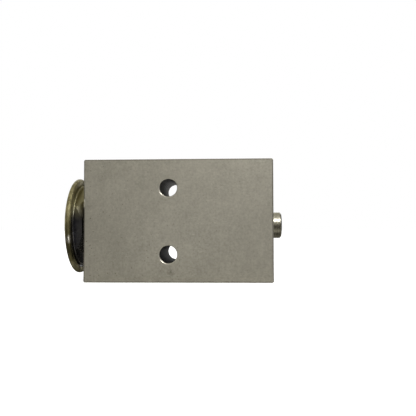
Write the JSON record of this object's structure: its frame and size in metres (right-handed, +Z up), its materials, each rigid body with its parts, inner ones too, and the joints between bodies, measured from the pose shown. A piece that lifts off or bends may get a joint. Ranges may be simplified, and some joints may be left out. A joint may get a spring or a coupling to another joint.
{
  "type": "thermostatic expansion valve",
  "caption": "Block expansion valve: a drilled aluminium block with a diaphragm head at one end, an adjusting screw at the other and two cross bolt holes.",
  "frame": {"origin": "middle of the lower port face, on which the block stands", "axes": "+X along the valve line from the diaphragm head to the adjusting screw, +Z up from the lower port face to the upper one, the plain faces with the bolt holes face -Y and +Y"},
  "size_m": [0.0691, 0.0308, 0.038],
  "materials": {
    "block_aluminium": "matte, as machined from extruded bar",
    "passivated_steel": "pressed sheet with a yellow passivated coat",
    "spring_steel": "bright sprung steel",
    "turned_steel": "bright turned",
    "stem_aluminium": "fine turned",
    "polished_steel": "polished",
    "turned_brass": "turned",
    "seal_rubber": "moulded, matte black",
    "plug_copper": "copper, dull"
  },
  "bodies": {
    "housing": {"valve_block": "block_aluminium", "head_base": "passivated_steel", "head_lid": "passivated_steel", "diaphragm": "spring_steel", "charge_plug": "plug_copper", "head_seal": "seal_rubber", "stem_seal": "seal_rubber", "stem_washer": "turned_brass", "stem_retainer": "spring_steel", "orifice_seat": "turned_steel"},
    "valve_train": {"pressure_pad": "turned_brass", "sensing_stem": "stem_aluminium", "push_pin": "polished_steel", "valve_ball": "polished_steel", "ball_carrier": "turned_brass", "damping_ring": "spring_steel", "valve_spring": "spring_steel"},
    "spring_seat": {"spring_seat": "turned_steel"},
    "adjusting_screw": {"adjusting_screw": "turned_steel", "screw_seal": "seal_rubber"}
  },
  "joints": [
    {"name": "valve_lift", "type": "slide", "parent": "housing", "child": "valve_train", "axis": [1, 0, 0], "range_m": [0, 0.0008], "stiffness_N_per_m": 1500, "springref_m": -0.001, "deforming": ["valve_spring"]},
    {"name": "screw_travel", "type": "slide", "parent": "housing", "child": "spring_seat", "axis": [1, 0, 0], "range_m": [0, 0.001]},
    {"name": "screw_turn", "type": "hinge", "parent": "spring_seat", "child": "adjusting_screw", "pos_m": [0.03, 0, 0.0176], "axis": [1, 0, 0], "range_deg": [0, 360]}
  ],
  "couplings": [
    {"joint": "screw_travel", "follows": "screw_turn", "m_per_rad": 0.00015915}
  ]
}
